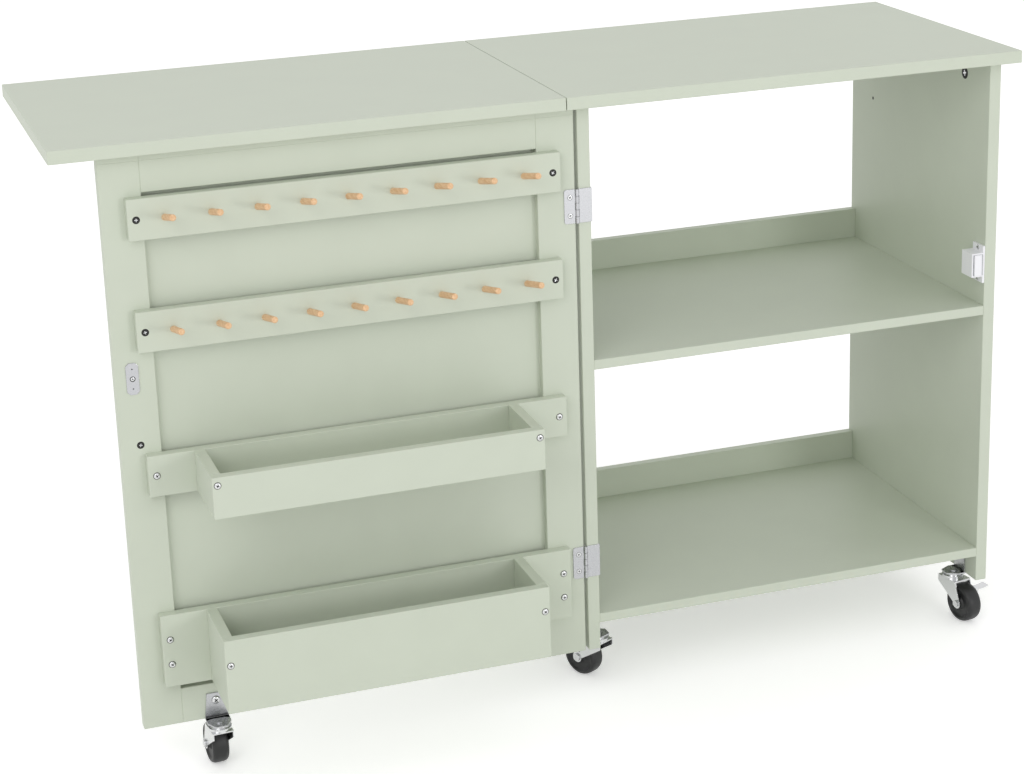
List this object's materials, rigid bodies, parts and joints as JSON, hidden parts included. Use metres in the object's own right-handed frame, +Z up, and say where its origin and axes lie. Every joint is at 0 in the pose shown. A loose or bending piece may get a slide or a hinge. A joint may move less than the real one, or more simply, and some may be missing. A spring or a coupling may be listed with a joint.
{
  "type": "folding sewing cutting table",
  "caption": "Open cabinet on casters with a hinged door that carries spool rails, a tray and a bin, and a drop leaf that lies over the opened door.",
  "frame": {"origin": "on the floor under the middle of the opened table's outline", "axes": "+X along the opened worktop from the leaf towards the cabinet, +Y from the front with the tray and the bin to the back, +Z up"},
  "size_m": [1.176, 0.4824, 0.76],
  "materials": {
    "painted_board": "satin sage-green paint",
    "zinc_plate": "bright zinc plate",
    "screw_steel": "bright zinc plate",
    "fork_steel": "polished zinc plate",
    "wheel_rubber": "matt black",
    "white_plastic": "moulded",
    "peg_wood": "plain beech",
    "ferrite": "sintered magnet",
    "knob_metal": "satin nickel"
  },
  "bodies": {
    "cabinet": {"side_panel_left": "painted_board", "side_panel_right": "painted_board", "top_panel": "painted_board", "middle_shelf": "painted_board", "bottom_shelf": "painted_board", "middle_back_rail": "painted_board", "bottom_back_rail": "painted_board", "cabinet_hinge_leaves": "zinc_plate", "leaf_hinge_fixed_plates": "zinc_plate", "hinge_pins": "screw_steel", "catch_housing": "white_plastic", "catch_pole_plates": "zinc_plate", "catch_magnet": "ferrite", "caster_brackets": "zinc_plate"},
    "drop_leaf": {"drop_leaf": "painted_board", "leaf_hinge_moving_plates": "zinc_plate"},
    "door": {"door_hinge_leaves": "zinc_plate", "door_caster_bracket": "zinc_plate", "door_panel": "painted_board", "spool_pegs": "peg_wood", "spool_rail_upper": "painted_board", "spool_rail_lower": "painted_board", "tray_back": "painted_board", "tray_front": "painted_board", "tray_ends": "painted_board", "tray_floor": "painted_board", "bin_back": "painted_board", "bin_front": "painted_board", "bin_ends": "painted_board", "bin_floor": "painted_board", "strike_plate": "zinc_plate", "knob": "knob_metal", "free_stile": "painted_board", "hinge_stile": "painted_board", "door_top_rail": "painted_board", "door_bottom_rail": "painted_board"},
    "swivel_door": {"caster_door_fork": "fork_steel", "caster_door_axle": "fork_steel"},
    "wheel_door": {"caster_door_wheel": "wheel_rubber"},
    "swivel_front_right": {"caster_front_right_fork": "fork_steel", "caster_front_right_axle": "fork_steel"},
    "wheel_front_right": {"caster_front_right_wheel": "wheel_rubber"},
    "swivel_front_left": {"caster_front_left_fork": "fork_steel", "caster_front_left_axle": "fork_steel"},
    "wheel_front_left": {"caster_front_left_wheel": "wheel_rubber"},
    "swivel_back_right": {"caster_back_right_fork": "fork_steel", "caster_back_right_axle": "fork_steel"},
    "wheel_back_right": {"caster_back_right_wheel": "wheel_rubber"},
    "swivel_back_left": {"caster_back_left_fork": "fork_steel", "caster_back_left_axle": "fork_steel"},
    "wheel_back_left": {"caster_back_left_wheel": "wheel_rubber"},
    "pedal_front_right": {"caster_front_right_pedal": "fork_steel"},
    "pedal_front_left": {"caster_front_left_pedal": "fork_steel"}
  },
  "joints": [
    {"name": "door_swing", "type": "hinge", "parent": "cabinet", "child": "door", "pos_m": [0.0158, -0.13649, 0.4], "axis": [0, 0, 1], "range_deg": [0, 180]},
    {"name": "drop_leaf_fold", "type": "hinge", "parent": "cabinet", "child": "drop_leaf", "pos_m": [0, 0.04981, 0.7426], "axis": [0, -1, 0], "range_deg": [0, 90]},
    {"name": "swivel_door", "type": "hinge", "parent": "door", "child": "swivel_door", "pos_m": [-0.449, -0.15119, 0.056], "axis": [0, 0, 1], "continuous": true},
    {"name": "wheel_roll_door", "type": "hinge", "parent": "swivel_door", "child": "wheel_door", "pos_m": [-0.45067, -0.12725, 0.025], "axis": [-0.9976, -0.0698, 0], "continuous": true},
    {"name": "swivel_front_right", "type": "hinge", "parent": "cabinet", "child": "swivel_front_right", "pos_m": [0.544, -0.09519, 0.056], "axis": [0, 0, 1], "continuous": true},
    {"name": "wheel_roll_front_right", "type": "hinge", "parent": "swivel_front_right", "child": "wheel_front_right", "pos_m": [0.54817, -0.11883, 0.025], "axis": [0.9848, 0.1736, 0], "continuous": true},
    {"name": "pedal_front_right", "type": "hinge", "parent": "swivel_front_right", "child": "pedal_front_right", "pos_m": [0.56304, -0.11621, 0.04], "axis": [-0.1736, 0.9848, 0], "range_deg": [0, 24]},
    {"name": "swivel_front_left", "type": "hinge", "parent": "cabinet", "child": "swivel_front_left", "pos_m": [0.044, -0.09519, 0.056], "axis": [0, 0, 1], "continuous": true},
    {"name": "wheel_roll_front_left", "type": "hinge", "parent": "swivel_front_left", "child": "wheel_front_left", "pos_m": [0.03273, -0.074, 0.025], "axis": [-0.8829, -0.4695, 0], "continuous": true},
    {"name": "pedal_front_left", "type": "hinge", "parent": "swivel_front_left", "child": "pedal_front_left", "pos_m": [0.0194, -0.08109, 0.04], "axis": [0.4695, -0.8829, 0], "range_deg": [0, 24]},
    {"name": "swivel_back_right", "type": "hinge", "parent": "cabinet", "child": "swivel_back_right", "pos_m": [0.544, 0.19181, 0.056], "axis": [0, 0, 1], "continuous": true},
    {"name": "wheel_roll_back_right", "type": "hinge", "parent": "swivel_back_right", "child": "wheel_back_right", "pos_m": [0.55527, 0.213, 0.025], "axis": [-0.8829, 0.4695, 0], "continuous": true},
    {"name": "swivel_back_left", "type": "hinge", "parent": "cabinet", "child": "swivel_back_left", "pos_m": [0.044, 0.19181, 0.056], "axis": [0, 0, 1], "continuous": true},
    {"name": "wheel_roll_back_left", "type": "hinge", "parent": "swivel_back_left", "child": "wheel_back_left", "pos_m": [0.03983, 0.21544, 0.025], "axis": [-0.9848, -0.1736, 0], "continuous": true}
  ],
  "couplings": [
    {"joint": "drop_leaf_fold", "follows": "door_swing", "ratio": 0.5}
  ]
}
